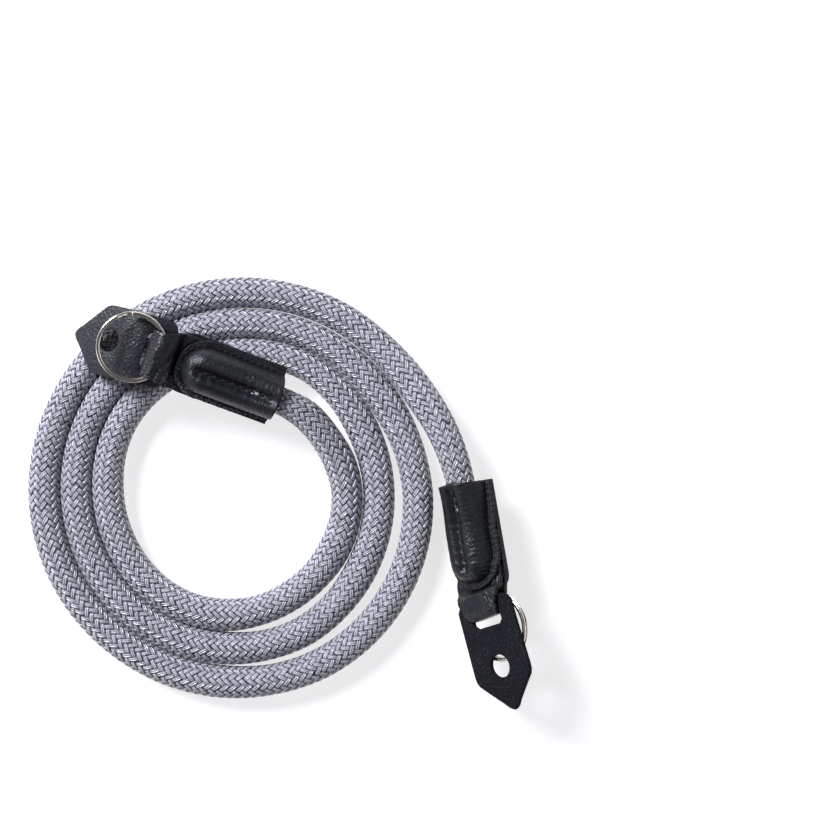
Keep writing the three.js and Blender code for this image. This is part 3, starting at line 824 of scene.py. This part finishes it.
fittings = {}
for letter in "ab":
    fittings[letter] = {
        "cover": coverSkin(letter),
        "strap": loopStrap(letter),
        "tab": protectorTab(letter),
        "ring": splitRing(letter),
        "groove": grooveStitches(letter),
        "seam": seamStitches(letter),
    }
    print("end fitting made", letter)

# Materials


def newMaterial(name, colour, roughness, metallic=0.0, specular=0.5):
    material = bpy.data.materials.new(name)
    material.use_nodes = True
    shader = material.node_tree.nodes["Principled BSDF"]
    shader.inputs["Base Color"].default_value = (*colour, 1)
    shader.inputs["Roughness"].default_value = roughness
    shader.inputs["Metallic"].default_value = metallic
    shader.inputs["Specular IOR Level"].default_value = specular
    return material, material.node_tree.nodes, material.node_tree.links, shader


def objectNoise(nodes, links, scale, detail, stretch=(1, 1, 1)):
    coordinates = nodes.new("ShaderNodeTexCoord")
    mapping = nodes.new("ShaderNodeMapping")
    mapping.inputs["Scale"].default_value = stretch
    noise = nodes.new("ShaderNodeTexNoise")
    noise.inputs["Scale"].default_value = scale
    noise.inputs["Detail"].default_value = detail
    links.new(coordinates.outputs["Object"], mapping.inputs["Vector"])
    links.new(mapping.outputs["Vector"], noise.inputs["Vector"])
    return noise


def colourRamp(nodes, links, value, stops):
    ramp = nodes.new("ShaderNodeValToRGB")
    while len(ramp.color_ramp.elements) < len(stops):
        ramp.color_ramp.elements.new(0.5)
    for element, (at, colour) in zip(ramp.color_ramp.elements, stops):
        element.position = at
        element.color = (*colour, 1)
    links.new(value, ramp.inputs["Fac"])
    return ramp.outputs["Color"]


def addBump(nodes, links, height, distance, strength, before=None):
    bump = nodes.new("ShaderNodeBump")
    bump.inputs["Distance"].default_value = distance
    bump.inputs["Strength"].default_value = strength
    links.new(height, bump.inputs["Height"])
    if before is not None:
        links.new(before, bump.inputs["Normal"])
    return bump.outputs["Normal"]


def roughnessBetween(nodes, links, value, low, high):
    rough = nodes.new("ShaderNodeMapRange")
    rough.inputs["To Min"].default_value = low
    rough.inputs["To Max"].default_value = high
    links.new(value, rough.inputs["Value"])
    return rough.outputs["Result"]


def mathNode(nodes, links, operation, *values):
    node = nodes.new("ShaderNodeMath")
    node.operation = operation
    for socket, value in zip(node.inputs, values):
        if isinstance(value, (int, float)):
            socket.default_value = value
        else:
            links.new(value, socket)
    return node.outputs["Value"]


# ground, lift, crown, yarn and tint: what the strand, the painted shade where its floats dive under, the
# painted shading of its roundness (lighter on top, darker at its edges), its yarns and chance add to the
# place on the colour ramp
yarnLook = {
    "base": (0.4, 0.39, 0.44),
    "roughness": 0.26,
    "specular": 1.0,
    "yarns": 10,
    "yarnDepth": 0.00011,
    "ground": 0.13,
    "lift": 0.3,
    "diveShade": (1.8, 0.4),  # slope and level of the painted shade where it dives under
    "crown": 0.3,
    "yarn": 0.11,
    "tint": 0.3,
    # the darkest stops give the painted shade under the crossings, the lightest the painted light on the tops
    # of the floats
    "stops": [
        (0.4, (0.02, 0.019, 0.028)),
        (0.62, (0.13, 0.124, 0.155)),
        (0.8, (0.36, 0.355, 0.41)),
        (0.98, (0.7, 0.7, 0.77)),
    ],
}


def braidMaterial():
    # yarns lie side by side in a strand, with painted shade where it dives under and at its edges and a
    # painted lighter top
    look = yarnLook
    material, nodes, links, shader = newMaterial(
        "silverYarn", look["base"], look["roughness"], specular=look["specular"]
    )
    uv = nodes.new("ShaderNodeUVMap")
    uv.uv_map = "strand"
    split = nodes.new("ShaderNodeSeparateXYZ")
    links.new(uv.outputs["UV"], split.inputs["Vector"])
    u, v = split.outputs["X"], split.outputs["Y"]
    # painted shade: darker where the strand dives under its neighbours
    lift = mathNode(nodes, links, "COSINE", mathNode(nodes, links, "MULTIPLY", u, math.pi))
    lift = mathNode(nodes, links, "MINIMUM", mathNode(nodes, links, "MULTIPLY_ADD", lift, *look["diveShade"]), 1.0)
    # painted shading of the strand's roundness: lighter on top, darker at its edges
    fromTop = mathNode(nodes, links, "SUBTRACT", v, 0.25)
    crown = mathNode(nodes, links, "COSINE", mathNode(nodes, links, "MULTIPLY", fromTop, 2 * math.pi))
    around = mathNode(nodes, links, "MULTIPLY", v, look["yarns"] * 2 * math.pi)
    yarns = mathNode(nodes, links, "COSINE", around)
    tint = objectNoise(nodes, links, scale=500, detail=2)
    value = mathNode(nodes, links, "MULTIPLY_ADD", lift, look["lift"], look["ground"])
    value = mathNode(nodes, links, "MULTIPLY_ADD", crown, look["crown"], value)
    value = mathNode(nodes, links, "MULTIPLY_ADD", yarns, look["yarn"], value)
    value = mathNode(nodes, links, "MULTIPLY_ADD", tint.outputs["Fac"], look["tint"], value)
    colour = colourRamp(nodes, links, value, look["stops"])
    links.new(colour, shader.inputs["Base Color"])
    links.new(addBump(nodes, links, yarns, look["yarnDepth"], 0.9), shader.inputs["Normal"])
    return material


def fibreMaterial(name, base, roughness, specular, scale, detail, dark, light, strength):
    # plain dull fibre, as of the core and the thread
    material, nodes, links, shader = newMaterial(name, base, roughness, specular=specular)
    noise = objectNoise(nodes, links, scale, detail)
    colour = colourRamp(nodes, links, noise.outputs["Fac"], [(0.35, dark), (0.7, light)])
    links.new(colour, shader.inputs["Base Color"])
    links.new(addBump(nodes, links, noise.outputs["Fac"], 0.0001, strength), shader.inputs["Normal"])
    return material


# lip: share of the half width past which the leather is cut and rough; the cut-edge value: how light it is
# there, its own tone, and on cover A raised as painted light where the lobe shades the lip
leathers = {
    "smoothLeather": {
        "dark": (0.006, 0.007, 0.0095),
        "light": (0.01, 0.0115, 0.015),
        "roughness": 0.36,
        "grain": 1700,
        "grainDepth": 0.00015,
        "creaseDepth": 0.0006,
        "lip": 0.96,
        "cutToneAndPaintedLight": 0.03,
    },
    "grainLeather": {
        "dark": (0.01, 0.011, 0.015),
        "light": (0.017, 0.0185, 0.025),
        "roughness": 0.42,
        "grain": 1700,
        "grainDepth": 0.00032,
        "creaseDepth": 0.00004,
    },
    "suedeLeather": {
        "dark": (0.004, 0.0044, 0.006),
        "light": (0.009, 0.0095, 0.012),
        "roughness": 0.85,
        "grain": 2600,
        "grainDepth": 0.00012,
        "creaseDepth": 0.0002,
        "specks": True,
    },
}
coverLook = {"roughness": 0.42, "grainDepth": 0.00012, "creaseDepth": 0.00025, "lip": 0.88}
# cover A's cut lip is painted lighter, as painted light on a lip that the lobe shades; cover B's is its own
# dark tone
for letter, cutToneAndPaintedLight in (("a", 0.24), ("b", 0.028)):
    leathers[f"coverLeather_{letter}"] = {**leathers["smoothLeather"], **coverLook, "cutToneAndPaintedLight": cutToneAndPaintedLight}


# what all the leathers share
hide = {
    "gloss": (-0.08, 0.12),  # how far roughness goes either side
    "creaseScale": 330,
    "creaseTwist": 0.6,
    "cloudScale": 120,
    "fibreScale": 1500,
    "suedeFibreScale": 3000,
    "suedeSpeck": (0.14, 0.14, 0.155),
    "fibreDepth": 0.00025,
    "cutShare": 0.75,
    "cutRoughness": 0.4,
    "patchDepth": 0.0006,
}


def leatherMaterial(name):
    look = leathers[name]
    dark, light, roughness = look["dark"], look["light"], look["roughness"]
    specks, lip = look.get("specks", False), look.get("lip", 0)
    material, nodes, links, shader = newMaterial(name, dark, roughness, specular=0.13 if specks else 0.5)
    coordinates = nodes.new("ShaderNodeTexCoord")
    cells = nodes.new("ShaderNodeTexVoronoi")
    cells.feature = "SMOOTH_F1"
    cells.inputs["Scale"].default_value = look["grain"]
    links.new(coordinates.outputs["Object"], cells.inputs["Vector"])
    creases = objectNoise(nodes, links, scale=hide["creaseScale"], detail=5)
    creases.inputs["Distortion"].default_value = hide["creaseTwist"]
    cloud = objectNoise(nodes, links, scale=hide["cloudScale"], detail=3)
    colour = colourRamp(nodes, links, cloud.outputs["Fac"], [(0.35, dark), (0.7, light)])
    low, high = (roughness + step for step in hide["gloss"])
    roughValue = roughnessBetween(nodes, links, creases.outputs["Fac"], low, high)
    normal = addBump(nodes, links, creases.outputs["Fac"], look["creaseDepth"], 0.45)
    normal = addBump(nodes, links, cells.outputs["Distance"], look["grainDepth"], 0.6, normal)
    if specks or lip:
        if specks:
            start, end, bright = 0.6, 0.76, hide["suedeSpeck"]
        else:
            # the cut edge's tone, on cover A raised as painted light
            start, end, bright = 0.44, 0.66, (look["cutToneAndPaintedLight"], look["cutToneAndPaintedLight"] * 1.03, look["cutToneAndPaintedLight"] * 1.15)
        fibre = objectNoise(nodes, links, scale=hide["suedeFibreScale" if specks else "fibreScale"], detail=3)
        sparkle = colourRamp(nodes, links, fibre.outputs["Fac"], [(start, light), (end, bright)])
        mix = nodes.new("ShaderNodeMix")
        mix.data_type = "RGBA"
        mix.inputs["Factor"].default_value = 0.7
        links.new(colour, mix.inputs["A"])
        links.new(sparkle, mix.inputs["B"])
        colour = mix.outputs["Result"]
        normal = addBump(nodes, links, fibre.outputs["Fac"], hide["fibreDepth"], 0.6, normal)
    if lip:
        # cut flange: rough and a little lighter, its own tone and on cover A also painted light, with fine
        # creases across the lobe beside it
        split = nodes.new("ShaderNodeSeparateXYZ")
        links.new(coordinates.outputs["UV"], split.inputs["Vector"])
        side = mathNode(nodes, links, "MULTIPLY_ADD", split.outputs["Y"], 2.0, -1.0)
        steep = 3 / (1 - lip)
        edge = mathNode(nodes, links, "MULTIPLY_ADD", side, steep, -steep * lip)
        edge = mathNode(nodes, links, "MINIMUM", mathNode(nodes, links, "MAXIMUM", edge, 0.0), 1.0)
        links.new(mathNode(nodes, links, "MULTIPLY", edge, hide["cutShare"]), mix.inputs["Factor"])
        roughValue = mathNode(nodes, links, "MULTIPLY_ADD", edge, hide["cutRoughness"], roughValue)
        bands = nodes.new("ShaderNodeTexWave")
        bands.inputs["Scale"].default_value = 7.5
        bands.inputs["Distortion"].default_value = 7.0
        bands.inputs["Detail"].default_value = 3.0
        bands.inputs["Detail Scale"].default_value = 1.6
        links.new(coordinates.outputs["UV"], bands.inputs["Vector"])
        patches = mathNode(nodes, links, "MULTIPLY", bands.outputs["Fac"], cloud.outputs["Fac"])
        patches = mathNode(nodes, links, "MULTIPLY", patches, mathNode(nodes, links, "MAXIMUM", side, 0.15))
        normal = addBump(nodes, links, patches, hide["patchDepth"], 0.7, normal)
    links.new(colour, shader.inputs["Base Color"])
    links.new(roughValue, shader.inputs["Roughness"])
    links.new(normal, shader.inputs["Normal"])
    return material


def nickelMaterial():
    material, nodes, links, shader = newMaterial("nickelWire", (0.84, 0.77, 0.71), 0.2, metallic=1.0)
    scratches = objectNoise(nodes, links, scale=1400, detail=3, stretch=(1, 1, 4)).outputs["Fac"]
    links.new(roughnessBetween(nodes, links, scratches, 0.12, 0.32), shader.inputs["Roughness"])
    links.new(addBump(nodes, links, scratches, 0.00003, 0.3), shader.inputs["Normal"])
    return material


yarn = braidMaterial()
# the core's dark colour is partly its own and partly painted shade for the gaps between the strands
coreCloth = fibreMaterial(
    "ropeCore",
    base=(0.08, 0.078, 0.1),
    roughness=0.9,
    specular=0.5,
    scale=2500,
    detail=2,
    dark=(0.02, 0.019, 0.028),
    light=(0.06, 0.058, 0.075),
    strength=0.5,
)
thread = fibreMaterial(
    "blackThread",
    base=(0.01, 0.01, 0.012),
    roughness=0.6,
    specular=0.3,
    scale=4000,
    detail=1,
    dark=(0.004, 0.004, 0.005),
    light=(0.02, 0.02, 0.024),
    strength=0.6,
)
leather = {name: leatherMaterial(name) for name in leathers}
nickel = nickelMaterial()


def dress(piece, material, nodes=()):
    piece.data.materials.clear()
    piece.data.materials.append(material)
    if nodes:
        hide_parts(*nodes)
    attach(piece, "root")


dress(ropeCore, coreCloth, ["rope"])
for piece in braidPieces:
    dress(piece, yarn)
for letter, pieces in fittings.items():
    # tab A shows its grained side, tab B its suede
    tabLeather = leather["grainLeather" if letter == "a" else "suedeLeather"]
    dress(pieces["cover"], leather[f"coverLeather_{letter}"], [f"rope_cover_{letter}"])
    dress(pieces["strap"], leather["smoothLeather"], [f"loop_strap_{letter}"])
    dress(pieces["tab"], tabLeather, [f"protector_tab_{letter}"])
    dress(pieces["ring"], nickel, [f"split_ring_{letter}"])
    dress(pieces["groove"], thread)
    dress(pieces["seam"], thread)

print("materials and riding done")

# Floor and light
studio = {
    "floor": (0.5, 0.5, 0.51),
    "glow": 0.7,
    "sky": 0.09,
    "skyColour": (0.95, 0.97, 1),
    "tint": (0.965, 0.985, 1.07),
}
lights = {
    "keyLight": {"place": (-0.6, 0.6, 0.7), "size": 0.42, "energy": 18.0},
    "fillLight": {"place": (0.8, -0.3, 0.9), "size": 0.8, "energy": 1.8},
    "rimLight": {"place": (-0.75, -0.5, 0.4), "size": 0.5, "energy": 1.0},
}

bpy.ops.object.select_all(action="DESELECT")
bpy.ops.mesh.primitive_plane_add(size=6, location=(0, 0, 0))
floor = bpy.context.object
floor.name = "floor"
floorMaterial, nodes, links, shader = newMaterial("paleFloor", studio["floor"], 0.7, specular=0.3)
shader.inputs["Emission Color"].default_value = (1, 1, 1, 1)
shader.inputs["Emission Strength"].default_value = studio["glow"]
floor.data.materials.append(floorMaterial)
print("floor laid")

world = bpy.data.worlds.new("studio")
bpy.context.scene.world = world
world.use_nodes = True
background = world.node_tree.nodes["Background"]
background.inputs["Color"].default_value = (*studio["skyColour"], 1)
background.inputs["Strength"].default_value = studio["sky"]

for name, settings in lights.items():
    data = bpy.data.lights.new(name, "AREA")
    data.size = settings["size"]
    data.energy = settings["energy"]
    data.color = studio["tint"]
    light = bpy.data.objects.new(name, data)
    light.location = settings["place"]
    light.rotation_euler = (-Vector(settings["place"])).to_track_quat("-Z", "Y").to_euler()
    bpy.context.scene.collection.objects.link(light)
bpy.context.scene.view_settings.view_transform = "Standard"
